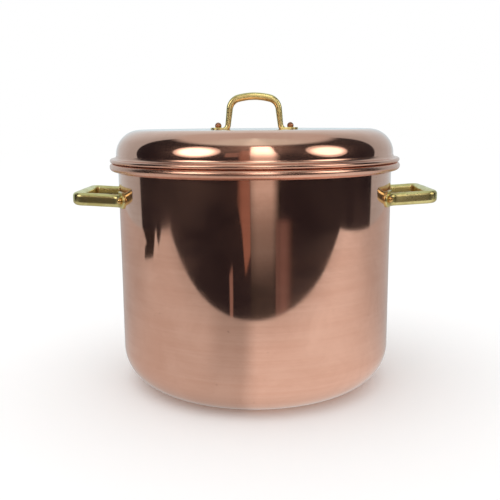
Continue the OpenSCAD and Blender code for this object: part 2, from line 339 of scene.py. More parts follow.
@dataclass(frozen=True)
class TurnedCopper:
    """Copper sheet, spun on a lathe and polished with a fine wheel.

    It is a warm pink mirror. Fine lines run around it, so reflections are sharp across them
    and drawn out up and down, and wiping marks leave soft cloudy patches. Its rolled edge is
    worked by hand and mirrors less. A thin haze lies over the mirror, with a few small pits.
    """

    name: str
    lay: Lay
    light: str = "#E9B8A2"
    deep: str = "#E2AE97"
    residue: str = "#5F3A2E"
    roughness: float = 0.05
    cloudy: float = 0.03            # roughness that the clouds add
    dirty: float = 0.3              # roughness that residue adds
    worked: float = 0.2             # roughness of an edge that is worked by hand
    haze: Fade = Fade(0.3, 0.72, 0.06, 0.17)    # share of the haze, by the clouds
    haze_roughness: float = 0.4
    grain: float = 0.2              # how far reflections are drawn out across the lines
    line_mm: float = 1.1
    line_run_mm: float = 111.11
    line_depth_mm: float = 0.002
    band_mm: float = 7.6923
    band_run_mm: float = 200.0
    cloud_mm: float = 62.5
    stain_mm: float = 11.111
    stains: Fade = Fade(0.5, 0.68, 0.0, 0.6)    # residue in a recess
    pit_mm: float = 3.3333
    pits: Fade = Fade(0.76, 0.82, 0.0, 0.35)
    shares: tuple[float, float, float] = (0.5, 0.25, 0.25)    # of clouds, bands and lines

    def drawn_out(self, tree: bpy.types.NodeTree, spot: tuple, run_mm: float, step_mm: float
                  ) -> bpy.types.Node:
        """Place on the sheet for a pattern that is long around it and short along it.

        Args:
            tree: Tree that takes the nodes.
            spot: X, Y and the distance along the profile.
            run_mm: Length of the pattern around the sheet.
            step_mm: Its size along the profile.

        Returns:
            Node of the place.
        """
        return add(tree, "ShaderNodeCombineXYZ", *(
            add(tree, Work.TIMES, value, per_metre(size))
            for value, size in zip(spot, (run_mm, run_mm, step_mm))))

    def surface(self, tree: bpy.types.NodeTree) -> bpy.types.Node:
        """Builds the shader, a haze over a mirror.

        Args:
            tree: Empty tree of the material.

        Returns:
            The shader.
        """
        place = add(tree, "ShaderNodeTexCoord").outputs["Object"]
        apart = add(tree, "ShaderNodeSeparateXYZ", place).outputs
        reach = add(tree, Work.ROOT, join(tree, Work.PLUS, *(
            add(tree, Work.TIMES, apart[k], apart[k]) for k in (0, 1))))
        along = add(tree, Work.PLUS, apart[2], add(tree, Work.TIMES, reach, self.lay.value))
        spot = (apart[0], apart[1], along)
        # The real lines are about 0.1 mm apart. They are drawn coarser so that they show.
        lines = add(tree, "ShaderNodeTexNoise", inputs={
            "Vector": self.drawn_out(tree, spot, self.line_run_mm, self.line_mm),
            "Scale": 1.0, "Detail": 3.0, "Roughness": 0.6})
        bands = add(tree, "ShaderNodeTexNoise", inputs={
            "Vector": self.drawn_out(tree, spot, self.band_run_mm, self.band_mm),
            "Scale": 1.0, "Detail": 2.0})
        clouds = add(tree, "ShaderNodeTexNoise", inputs={
            "Vector": place, "Scale": per_metre(self.cloud_mm), "Detail": 4.0,
            "Roughness": 0.62, "Distortion": 0.6})
        tone = add(tree, Work.FADE, join(tree, Work.PLUS, *(
            add(tree, Work.TIMES, mark, share)
            for mark, share in zip((clouds, bands, lines), self.shares))), *MOTTLE)
        recess, worked = (add(tree, "ShaderNodeAttribute", attribute_name=mark).outputs["Fac"]
                          for mark in ("recess", "worked"))
        patches = add(tree, "ShaderNodeTexNoise", inputs={
            "Vector": place, "Scale": per_metre(self.stain_mm), "Detail": 3.0})
        specks = add(tree, "ShaderNodeTexNoise", inputs={
            "Vector": place, "Scale": per_metre(self.pit_mm), "Detail": 1.0})
        stained = add(tree, Work.TIMES, recess, add(tree, Work.FADE, patches, *self.stains))
        dirt = add(tree, Work.PLUS, stained, add(tree, Work.FADE, specks, *self.pits))
        clean = add(tree, Work.MIX, tone, self.light, self.deep)
        colour = add(tree, Work.MIX, dirt, clean, self.residue)
        rough = join(tree, Work.PLUS, add(tree, Work.TIMES, tone, self.cloudy),
                     add(tree, Work.TIMES, dirt, self.dirty), self.roughness,
                     add(tree, Work.TIMES, worked, self.worked))
        bump = add(tree, "ShaderNodeBump", inputs={
            "Strength": 1.0, "Distance": self.line_depth_mm * MM, "Height": lines})
        ring = add(tree, "ShaderNodeTangent", direction_type="RADIAL", axis="Z")
        mirror, haze = (add(tree, "ShaderNodeBsdfPrincipled", inputs={
            "Base Color": colour, "Metallic": 1.0, "Roughness": width,
            "Anisotropic": self.grain, "Anisotropic Rotation": 0.25, "Normal": bump,
            "Tangent": ring}) for width in (rough, self.haze_roughness))
        return add(tree, "ShaderNodeMixShader", add(tree, Work.FADE, clouds, *self.haze),
                   mirror, haze)

    def build(self) -> bpy.types.Material:
        """Makes the material."""
        return make_material(self.name, self.surface)


@dataclass(frozen=True)
class RubbedMetal:
    """Metal with a rubbed, cast, drawn or wiped surface, cloudy and with a low grain."""

    name: str
    light: str
    deep: str
    roughness: float
    spread: float            # roughness that the clouds add
    cloud_mm: float
    grain_mm: float
    grain_depth_mm: float
    stretch: tuple[float, float, float] = (1.0, 1.0, 1.0)

    def surface(self, tree: bpy.types.NodeTree) -> bpy.types.Node:
        """Builds the shader.

        Args:
            tree: Empty tree of the material.

        Returns:
            The shader.
        """
        place = add(tree, "ShaderNodeTexCoord").outputs["Object"]
        drawn = add(tree, "ShaderNodeMapping", inputs={"Vector": place, "Scale": self.stretch})
        clouds = add(tree, "ShaderNodeTexNoise", inputs={
            "Vector": drawn, "Scale": per_metre(self.cloud_mm), "Detail": 4.0,
            "Roughness": 0.6, "Distortion": 0.4})
        grain = add(tree, "ShaderNodeTexNoise", inputs={
            "Vector": drawn, "Scale": per_metre(self.grain_mm), "Detail": 2.0})
        tone = add(tree, Work.FADE, clouds, *MOTTLE)
        rough = add(tree, Work.PLUS, add(tree, Work.TIMES, tone, self.spread), self.roughness)
        bump = add(tree, "ShaderNodeBump", inputs={
            "Strength": 1.0, "Distance": self.grain_depth_mm * MM, "Height": grain})
        return add(tree, "ShaderNodeBsdfPrincipled", inputs={
            "Base Color": add(tree, Work.MIX, tone, self.light, self.deep), "Metallic": 1.0,
            "Roughness": rough, "Normal": bump})

    def build(self) -> bpy.types.Material:
        """Makes the material."""
        return make_material(self.name, self.surface)


# Brass, cast in sand and polished: a warm yellow sheen, with a faint orange-peel under it.
CAST_BRASS = RubbedMetal("brass_sand_cast_polished", "#E2D596", "#CFC07E", 0.27, 0.05,
                         cloud_mm=14, grain_mm=4, grain_depth_mm=0.0015)
# Tin, wiped on hot: pale and dull, with soft streaks around the wall.
WIPED_TIN = RubbedMetal("tin_hot_wiped", "#E4E4E0", "#D2D4D1", 0.36, 0.08,
                        cloud_mm=30, grain_mm=4, grain_depth_mm=0.012, stretch=(1, 1, 2.5))
# Brass rivets, headed cold: golden, with the small flats of the hammer.
GOLDEN_RIVET = RubbedMetal("brass_rivet_hammered", "#E3BE78", "#C08E55", 0.17, 0.1,
                           cloud_mm=4, grain_mm=1.2, grain_depth_mm=0.02)
# Copper rivets, headed cold and left unpolished: brown, with the same flats.
BROWN_RIVET = RubbedMetal("copper_rivet_hammered", "#C08B6C", "#8A5A44", 0.2, 0.12,
                          cloud_mm=4, grain_mm=1.2, grain_depth_mm=0.02)
# Steel wire, drawn: plain grey.
DRAWN_STEEL = RubbedMetal("steel_wire_drawn", "#9A9EA2", "#7C8084", 0.3, 0.1,
                          cloud_mm=20, grain_mm=1, grain_depth_mm=0.01)


# ---------------------------------------------------------------- turned sheets


class Row(NamedTuple):
    """One point of a profile, with the marks that its ring of the sheet carries."""

    r: float
    z: float
    outer: float = 0.0
    recess: float = 0.0
    worked: float = 0.0


def spin_tree() -> bpy.types.NodeTree:
    """Builds the tree that spins a profile around Z into a closed sheet.

    The profile is a line of points in the XZ plane. Where its mark outer is 1, the sheet is
    pushed in and out a little, as by hand work.

    Returns:
        The geometry node tree.
    """
    tree, given = make_tree("spin_profile", {
        "Profile": "Geometry", "Segments": "Int", "Wave Depth": "Float",
        "Wave Length": "Float", "Seed": "Float", "Finish": "Material"}, "Sheet")
    count = add(tree, "GeometryNodeAttributeDomainSize", given["Profile"],
                component="MESH").outputs["Point Count"]
    grid = add(tree, "GeometryNodeMeshGrid", 1.0, 1.0,
               add(tree, Work.PLUS, given["Segments"], 1.0), count)
    here = add(tree, "GeometryNodeInputPosition")
    spot = add(tree, "ShaderNodeSeparateXYZ", here).outputs
    turn = add(tree, Work.TIMES, add(tree, Work.PLUS, spot[0], 0.5), math.tau)
    step = add(tree, Work.NEAREST, add(tree, Work.TIMES, add(tree, Work.PLUS, spot[1], 0.5),
                                       add(tree, Work.MINUS, count, 1.0)))
    at = add(tree, "GeometryNodeSampleIndex", given["Profile"], here, step,
             data_type="FLOAT_VECTOR")
    for mark in MARKS:
        read = add(tree, "GeometryNodeInputNamedAttribute", mark, data_type="FLOAT")
        value = add(tree, "GeometryNodeSampleIndex", given["Profile"], read, step,
                    data_type="FLOAT")
        grid = add(tree, "GeometryNodeStoreNamedAttribute", data_type="FLOAT", domain="POINT",
                   inputs={"Geometry": grid, "Name": mark, "Value": value})
    profile = add(tree, "ShaderNodeSeparateXYZ", at).outputs
    placed = add(tree, "ShaderNodeCombineXYZ",
                 add(tree, Work.TIMES, profile[0], add(tree, Work.COSINE, turn)),
                 add(tree, Work.TIMES, profile[0], add(tree, Work.SINE, turn)), profile[2])
    spun = add(tree, "GeometryNodeSetPosition", inputs={"Geometry": grid, "Position": placed})
    whole = add(tree, "GeometryNodeMergeByDistance", inputs={
        "Geometry": spun, "Distance": DOUBLES})
    wave = add(tree, "ShaderNodeTexNoise", noise_dimensions="4D", inputs={
        "Vector": here, "W": given["Seed"], "Detail": 1.0,
        "Scale": add(tree, Work.OVER, 1.0, given["Wave Length"])})
    outer = add(tree, "GeometryNodeInputNamedAttribute", "outer", data_type="FLOAT")
    push = join(tree, Work.TIMES, add(tree, Work.MINUS, wave, PUSHED_IN),
                given["Wave Depth"], outer)
    offset = add(tree, Work.STRETCH, add(tree, "GeometryNodeInputNormal"), push)
    waved = add(tree, "GeometryNodeSetPosition", inputs={"Geometry": whole, "Offset": offset})
    real = add(tree, "GeometryNodeRealizeInstances", waved)
    done = add(tree, "GeometryNodeSetMaterial", inputs={
        "Geometry": real, "Material": given["Finish"]})
    add(tree, "NodeGroupOutput", done)
    return tree


def run_tree(piece: bpy.types.Object, tree: bpy.types.NodeTree, values: dict) -> None:
    """Runs a geometry node tree on an object and keeps the result as its plain mesh.

    Args:
        piece: Object whose mesh goes into the tree.
        tree: Geometry node tree.
        values: Value of each named input.
    """
    modifier = piece.modifiers.new(tree.name, "NODES")
    modifier.node_group = tree
    names = {s.name: s.identifier for s in tree.interface.items_tree
             if s.item_type == "SOCKET" and s.in_out == "INPUT"}
    for name, value in values.items():
        modifier[names[name]] = value
    bake_modifiers(piece)


def spin(name: str, profile: list[Row], tree: bpy.types.NodeTree, values: dict
         ) -> bpy.types.Object:
    """Spins a profile into a closed sheet.

    Args:
        name: Name of the piece.
        profile: Rows from the middle of one face to the middle of the other.
        tree: Tree made by spin_tree.
        values: Its named inputs.

    Returns:
        The finished piece.
    """
    mesh = bpy.data.meshes.new(name)
    edges = [(k, k + 1) for k in range(len(profile) - 1)]
    mesh.from_pydata([(row.r, 0.0, row.z) for row in profile], edges, [])
    for mark in MARKS:
        mesh.attributes.new(mark, "FLOAT", "POINT").data.foreach_set(
            "value", [getattr(row, mark) for row in profile])
    piece = link_object(name, mesh)
    run_tree(piece, tree, values)
    turn_outwards(piece.data)
    shade(piece.data, SHEET_CREASE)
    return piece


@dataclass
class KettlePot:
    """Copper body with its rolled rim, its tin lining and the wire in the rim."""

    radius: float = 150 * MM
    height: float = 245 * MM
    wall: float = 1.5 * MM
    base_turn: float = 42 * MM
    mouth_turn: float = 3 * MM
    rim_reach: float = 8.97 * MM
    wire_r: float = 2.7 * MM
    tuck_slope: float = 17
    tuck_gap: float = 0.3 * MM
    segments: int = 224
    base_steps: int = 36
    side_steps: int = 24
    mouth_steps: int = 10
    hidden_steps: int = 6
    curl_steps: int = 28
    wire_steps: int = 20
    wave_depth: float = 0.34 * MM
    wave_length: float = 85 * MM
    calm_h: float = 8 * MM      # height over which the waves set in above the base
    stain_h: float = 9 * MM     # height below the rim that residue darkens, with no waves
    stain_curl: float = 0.6     # how far down the curl residue starts, as a share of it

    def profile(self) -> list[Row]:
        """Profile of the body from the centre of its base, over the rim and back inside.

        Returns:
            Its rows.
        """
        curl = self.wire_r + self.wall
        wire = (self.radius + self.rim_reach - curl, self.height - curl)
        turn_at = (self.radius - self.base_turn, self.base_turn)
        mouth_at = (self.radius - self.wall + self.mouth_turn, self.height - self.mouth_turn)
        slope = math.radians(self.tuck_slope)
        out = (math.sin(slope), -math.cos(slope))
        inward = (-math.cos(slope), -math.sin(slope))

        def tuck_end(start: tuple[float, float]) -> tuple[float, float]:
            """End of the tucked edge on one of its faces."""
            run = (self.radius + self.tuck_gap - start[0]) / inward[0]
            return (start[0] + run * inward[0], start[1] + run * inward[1])

        tuck_outer = (wire[0] + curl * out[0], wire[1] + curl * out[1])
        tuck_inner = (wire[0] + self.wire_r * out[0], wire[1] + self.wire_r * out[1])
        hidden_r = self.mouth_turn - self.wall
        outside = [(0.0, 0.0)] + arc(turn_at, self.base_turn, -90, 0, self.base_steps)
        side_top = (self.radius, mouth_at[1])
        under = arc(mouth_at, hidden_r, 180, 90, self.hidden_steps)
        under += [(wire[0], self.height - self.wall)]
        under += arc(wire, self.wire_r, 90, self.tuck_slope - 90, self.wire_steps)
        under += [tuck_end(tuck_inner)]
        over = [tuck_end(tuck_outer)]
        over += arc(wire, curl, self.tuck_slope - 90, 90, self.curl_steps)
        over += arc(mouth_at, self.mouth_turn, 90, 180, self.mouth_steps)
        inner_turn = self.base_turn - self.wall
        inside = [(self.radius - self.wall, mouth_at[1])]
        inside += arc(turn_at, inner_turn, 0, -90, self.side_steps) + [(0.0, self.wall)]
        low = wire[1] - self.stain_curl * curl
        rows = [Row(r, z, outer=1.0) for r, z in fill_in(outside + [side_top], FACE_STEP)]
        rows += [Row(r, z, recess=1.0) for r, z in fill_in(under, EDGE_STEP)]
        rows += [Row(r, z, recess=float(z < low and r < wire[0]), worked=1.0)
                 for r, z in fill_in(over, EDGE_STEP)]
        rows += [Row(r, z) for r, z in fill_in(inside, INSIDE_STEP)]
        faded = []
        for row in rows:
            near_rim = max(0.0, 1 - (mouth_at[1] - row.z) / self.stain_h)
            keep = min(1.0, max(0.0, row.z / self.calm_h)) * (1 - near_rim)
            faded.append(row._replace(outer=row.outer * keep,
                                      recess=max(row.recess, row.outer * near_rim ** 2)))
        return faded

    def build(self, tree: bpy.types.NodeTree, copper: bpy.types.Material,
              tin: bpy.types.Material, steel: bpy.types.Material) -> None:
        """Spins the copper body and dresses the lining and the wire.

        Args:
            tree: Tree made by spin_tree.
            copper: Finish of the body.
            tin: Finish of the lining.
            steel: Finish of the wire.
        """
        body = spin("copper_pot", self.profile(), tree, {
            "Segments": self.segments, "Wave Depth": self.wave_depth,
            "Wave Length": self.wave_length, "Seed": 3.0, "Finish": copper})
        finish_piece(body, Body.KETTLE, "copper", "kettle_body")
        dress_node("kettle_lining", tin)
        dress_node("kettle_rim_wire", steel)


@dataclass
class KettleLid:
    """Copper lid with its rolled edge, its tin lining, its wire and its collar."""

    radius: float = 151.7 * MM
    bottom: float = 245.3 * MM
    wall: float = 1 * MM
    shoulder: float = 26.4 * MM
    side_h: float = 0.3 * MM
    wire_r: float = 1.1 * MM
    reach: float = 6.8 * MM
    hollow_r: float = 3.7 * MM
    tuck_gap: float = 0.3 * MM
    segments: int = 224
    shoulder_steps: int = 30
    inside_steps: int = 20
    hollow_steps: int = 8
    curl_steps: int = 28
    wire_steps: int = 20
    wave_depth: float = 0.2 * MM
    wave_length: float = 60 * MM
    calm_h: float = 5 * MM      # height over which the waves set in above the hollow
    edge_worked: float = 0.8

    def profile(self) -> list[Row]:
        """Profile of the lid from the middle of its top, over the edge and back inside.

        Returns:
            Its rows.
        """
        curl = self.wire_r + self.wall
        wire = (self.radius + self.reach - curl, self.bottom + curl)
        edge_top = self.bottom + 2 * curl
        hollow = (self.radius + self.hollow_r, edge_top + self.hollow_r)
        turn_at = (self.radius - self.shoulder, hollow[1] + self.side_h)
        top = turn_at[1] + self.shoulder
        inner_turn = self.shoulder - self.wall
        outside = [(0.0, top)] + arc(turn_at, self.shoulder, 90, 0, self.shoulder_steps)
        edge = arc(hollow, self.hollow_r, 180, 270, self.hollow_steps)
        edge += arc(wire, curl, 90, -90, self.curl_steps)
        edge += [(self.radius + self.tuck_gap, self.bottom)]
        edge += [(self.radius + self.tuck_gap, self.bottom + self.wall)]
        edge += arc(wire, self.wire_r, -90, 90, self.wire_steps)
        edge += arc(hollow, self.hollow_r + self.wall, 270, 180, self.hollow_steps)
        inside = [(self.radius - self.wall, turn_at[1])]
        inside += arc(turn_at, inner_turn, 0, 90, self.inside_steps)
        inside += [(0.0, top - self.wall)]
        rows = [Row(r, z, outer=min(1.0, max(0.0, (z - hollow[1]) / self.calm_h)))
                for r, z in fill_in(outside, FACE_STEP)]
        rows += [Row(r, z, worked=self.edge_worked) for r, z in fill_in(edge, EDGE_STEP)]
        rows += [Row(r, z) for r, z in fill_in(inside, INSIDE_STEP)]
        return rows

    def build(self, tree: bpy.types.NodeTree, copper: bpy.types.Material,
              tin: bpy.types.Material, steel: bpy.types.Material) -> None:
        """Spins the copper lid and dresses the lining, the wire and the collar.

        Args:
            tree: Tree made by spin_tree.
            copper: Finish of the lid.
            tin: Finish of the lining and the collar.
            steel: Finish of the wire.
        """
        lid = spin("copper_lid", self.profile(), tree, {
            "Segments": self.segments, "Wave Depth": self.wave_depth,
            "Wave Length": self.wave_length, "Seed": 8.0, "Finish": copper})
        finish_piece(lid, Body.LID, "copper", "lid_shell")
        dress_node("lid_lining", tin)
        dress_node("lid_collar", tin)
        dress_node("lid_rim_wire", steel)


# ---------------------------------------------------------------- cast handles


class Station(NamedTuple):
    """One place along a cast bar: a point of its outer face, the way it looks, its thickness."""

    x: float
    y: float
    angle: float
    thick: float


def arc_stations(at: tuple[float, float], radius: float, start: float, stop: float, steps: int,
                 thick: tuple[float, float]) -> list[Station]:
    """Stations along an arc, whose radius is negative where the outer face is hollow.

    Args:
        at: Centre of the arc.
        radius: Radius of the outer face.
        start: First angle of the outer face, in degrees.
        stop: Last angle.
        steps: Number of steps.
        thick: Thickness at the start and at the end.

    Returns:
        The stations from start to stop.
    """
    rows = []
    for k in range(steps + 1):
        u = k / steps
        angle = math.radians(start + u * (stop - start))
        rows.append(Station(at[0] + radius * math.cos(angle), at[1] + radius * math.sin(angle),
                            angle, thick[0] + u * (thick[1] - thick[0])))
    return rows


def close_up(stations: list[Station], longest: float) -> list[Station]:
    """Adds stations along the straights of a bar.

    Args:
        stations: Stations of the bar.
        longest: Longest step that stays.

    Returns:
        The stations with those between them.
    """
    out = [stations[0]]
    for a, b in zip(stations, stations[1:]):
        count = max(1, math.ceil(math.dist((a.x, a.y), (b.x, b.y)) / longest))
        for k in range(1, count + 1):
            u = k / count
            out.append(Station(*(p + (q - p) * u for p, q in zip(a, b))))
    return out


def bar_section(thick: float, depth: float, edge: float, steps: int) -> list[tuple[float, float]]:
    """Section of a cast bar with rounded edges and slightly crowned faces.

    Args:
        thick: Thickness from the outer face to the inner face.
        depth: Size across the bar.
        edge: Radius of the rounded edges.
        steps: Steps around one edge.

    Returns:
        Points around the section: outwards from the outer face, and across.
    """
    rows = []
    for quarter in range(4):
        for k in range(steps + 1):
            a = math.radians(90 * (quarter + k / steps))
            x = -edge if quarter in (0, 3) else edge - thick
            y = (1 if quarter < 2 else -1) * (depth / 2 - edge)
            rows.append((x + edge * math.cos(a), y + edge * math.sin(a)))
    rows.append(rows[0])
    mid = thick / 2
    return [((x + mid) * (1 - CROWN * (2 * y / depth) ** 2) - mid,
             y * (1 - CROWN * ((x + mid) / mid) ** 2)) for x, y in fill_in(rows, EDGE_STEP)[:-1]]


def loft(name: str, rings: list[list[Vector]], clockwise: bool) -> bpy.types.Object:
    """Makes a closed piece from rings of points, with a flat face at each end.

    Args:
        name: Name of the piece.
        rings: Rings of equally many points, in metres.
        clockwise: Whether the rings turn clockwise, seen from the last of them.

    Returns:
        The piece, with its faces turned outwards.
    """
    sides = len(rings[0])
    top = (len(rings) - 1) * sides
    faces = []
    for start in range(0, top, sides):
        for k in range(sides):
            a, b = start + k, start + (k + 1) % sides
            quad = (a, a + sides, b + sides, b)
            faces.append(quad if clockwise else (a, *quad[:0:-1]))
    ends = [tuple(range(sides)), tuple(reversed(range(top, top + sides)))]
    faces += ends if clockwise else [end[::-1] for end in ends]
    mesh = bpy.data.meshes.new(name)
    mesh.from_pydata([tuple(p) for ring in rings for p in ring], [], faces)
    mesh.update()
    turn_outwards(mesh)
    return link_object(name, mesh)


def cast_bar(name: str, stations: list[Station], depth: float, edge: float) -> bpy.types.Object:
    """Lofts a cast bar through its stations, in the XY plane.

    Args:
        name: Name of the piece.
        stations: Stations of the bar.
        depth: Size across the bar.
        edge: Radius of the rounded edges.

    Returns:
        The bar.
    """
    thickest = max(s.thick for s in stations)
    section = bar_section(thickest, depth, edge, BAR_EDGE_STEPS)
    rings = []
    for s in stations:
        # A thinner station keeps its rounded edges and gives way between them.
        squeeze = (s.thick - 2 * edge) / (thickest - 2 * edge)
        ring = []
        for x, y in section:
            if edge - thickest < x <= -edge:
                x = -edge + (x + edge) * squeeze
            elif x <= -edge:
                x += thickest - s.thick
            ring.append(Vector((s.x + x * math.cos(s.angle), s.y + x * math.sin(s.angle), y)))
        rings.append(ring)
    return loft(name, rings, clockwise=True)


def foot_outline(radius: float, reach: float) -> list[tuple[float, float]]:
    """Outline of a foot: round beyond its rivet, straight back to the bar.

    Args:
        radius: Half of the width of the foot.
        reach: Length from the rivet back to the bar.

    Returns:
        Points around the outline: along the foot and across it, with the rivet at 0, 0.
    """
    rows = arc((0.0, 0.0), radius, -90, 90, FOOT_ROUND_STEPS)
    rows += [(-reach, radius), (-reach, -radius), rows[0]]
    return fill_in(rows, FOOT_STEP)[:-1]


def foot_layers(low: float, high: float, soft: float) -> list[tuple[float, float]]:
    """Layers of a foot, whose upper edge is rounded.

    Args:
        low: Level of its back.
        high: Level of its face.
        soft: Radius of the rounded edge.

    Returns:
        Level of each layer and its distance inside the outline.
    """
    rows = [(low, 0.0), (high - soft, 0.0)]
    for turn in (math.radians(a) for a in SOFT_EDGE):
        rows.append((high - soft + soft * math.sin(turn), soft * (1 - math.cos(turn))))
    return rows


def weld(target: bpy.types.Object, parts: list[bpy.types.Object]) -> None:
    """Joins closed parts into one closed mesh.

    Args:
        target: Object that keeps the result.
        parts: Objects that are joined to it and removed.
    """
    for part in parts:
        modifier = target.modifiers.new("weld", "BOOLEAN")
        modifier.operation = "UNION"
        modifier.solver = "EXACT"
        modifier.object = part
    bake_modifiers(target)
    for part in parts:
        bpy.data.meshes.remove(part.data)


def hand_finish(mesh: bpy.types.Mesh, depth: float, length: float, seed: float,
                spare: float) -> None:
    """Moves the points of a cast piece in and out a little, as filing and polishing do.

    Args:
        mesh: Mesh to change.
        depth: Greatest move in metres.
        length: Size of the waves in metres.
        seed: Number that sets the pattern.
        spare: Lowest distance from the axis that is changed.
    """
    moved = []
    for v in mesh.vertices:
        wave = noise.noise(v.co / length + Vector((seed, 0, 0)))
        far = math.hypot(v.co.x, v.co.y) > spare
        moved.append(v.co + v.normal * depth * (wave - FILED_IN) * far)
    for v, co in zip(mesh.vertices, moved):
        v.co = co
    mesh.update()


def finish_casting(piece: bpy.types.Object, brass: bpy.types.Material, body: Body, node: str
                   ) -> None:
    """Gives a casting its shading and its finish, and puts it in the place of its node.

    Args:
        piece: The casting.
        brass: Its finish.
        body: Body that it rides on.
        node: CAD node that it stands for.
    """
    turn_outwards(piece.data)
    shade(piece.data, CASTING_CREASE)
    piece.data.materials.clear()
    piece.data.materials.append(brass)
    finish_piece(piece, body, "cast_brass", node)


@dataclass
class SideHandles:
    """The two cast loop handles, whose arms flare into feet that follow the side."""

    kettle_r: float = 150 * MM
    foot_z: float = 207.3 * MM
    lift: float = 1.8 * MM
    slope: float = 3.3
    reach: float = 45 * MM
    width: float = 99.5 * MM
    bar_w: float = 8.8 * MM
    bar_h: float = 13.9 * MM
    edge: float = 3.8 * MM
    bend: float = 12 * MM
    flare: float = 9 * MM
    foot_t: float = 2 * MM
    foot_h: float = 17 * MM
    bite: float = 0.05 * MM
    flare_steps: int = 14
    bend_steps: int = 18
    rivet_room: float = 4.7 * MM
    foot_sink: float = 0.2 * MM     # how far the back of a foot reaches into the wall
    foot_soft: float = 0.7 * MM     # radius of its rounded edge
    foot_insets: tuple[float, float] = (2.5 * MM, 5 * MM)    # rings that keep its face round
    foot_keep: float = 0.5 * MM     # height above the face of a foot that isn't filed
    filed_depth: float = 0.16 * MM
    filed_length: float = 13 * MM

    @property
    def face_r(self) -> float:
        """Radius of the face of a foot."""
        return self.kettle_r + self.foot_t

    @property
    def flare_at(self) -> tuple[float, float]:
        """Centre of the flare of the rear arm.

        Returns:
            Its X and Y.
        """
        run = self.face_r + self.flare - self.bite
        y = self.width / 2 + self.flare
        return (math.sqrt(run * run - y * y), y)

    @property
    def flare_angle(self) -> float:
        """Angle from the X axis at which the flare runs out, in radians."""
        return math.atan2(self.flare_at[1], self.flare_at[0])

    @property
    def rivet_angle(self) -> float:
        """Angle of a rivet from the X axis, in radians."""
        return self.flare_angle + self.rivet_room / self.face_r

    def stations(self) -> list[Station]:
        """Stations from the rear foot around the grip to the front foot.

        Returns:
            The stations, in X and Y.
        """
        thick = (self.bar_w, self.bar_w)
        start = math.degrees(self.flare_angle)
        bend_at = (self.kettle_r + self.reach - self.bend, self.width / 2 - self.bend)
        half = arc_stations(self.flare_at, -self.flare, start, 90, self.flare_steps, thick)
        half += arc_stations(bend_at, self.bend, 90, 0, self.bend_steps, thick)
        front = [Station(s.x, -s.y, -s.angle, s.thick) for s in reversed(half)]
        return close_up(half + front, BAR_STEP)

    def foot(self, end: int) -> bpy.types.Object:
        """One foot of the right handle.

        Args:
            end: 1 for the rear foot, -1 for the front foot.

        Returns:
            The foot, closed.
        """
        angle, half = self.rivet_angle, self.foot_h / 2
        outline = foot_outline(half, self.face_r * math.sin(angle) - self.width / 2
                               + self.bar_w / 2)
        out = Vector((math.cos(angle), end * math.sin(angle), 0))
        along = Vector((-math.sin(angle), end * math.cos(angle), 0))
        layers = foot_layers(self.kettle_r - self.foot_sink, self.face_r, self.foot_soft)
        layers += [(self.face_r, inset) for inset in self.foot_insets]
        rings = []
        for r, inset in layers:
            shrink = (half - inset) / half
            ring = [(t * shrink if t > 0 else t, h * shrink) for t, h in outline]
            rings.append([out * math.sqrt(r * r - t * t) + along * t
                          + Vector((0, 0, self.foot_z + h)) for t, h in ring])
        return loft(f"foot_{end}", rings, clockwise=False)

    def build(self, brass: bpy.types.Material) -> None:
        """Builds both handles.

        Args:
            brass: Finish of the castings.
        """
        rise = math.tan(math.radians(self.slope))
        base = self.foot_z - self.lift - rise * self.face_r * math.cos(self.flare_angle)
        sloping = Matrix(((1, 0, 0, 0), (0, 1, 0, 0), (rise, 0, 1, base), (0, 0, 0, 1)))
        for side, name in ((1, "right_handle"), (-1, "left_handle")):
            handle = cast_bar(f"{name}_casting", self.stations(), self.bar_h, self.edge)
            handle.data.transform(sloping)
            weld(handle, [self.foot(1), self.foot(-1)])
            hand_finish(handle.data, self.filed_depth, self.filed_length, 5.0 + side,
                        self.face_r + self.foot_keep)
            if side < 0:
                handle.data.transform(Matrix.Scale(-1, 4, (1, 0, 0)))
            finish_casting(handle, brass, Body.KETTLE, name)


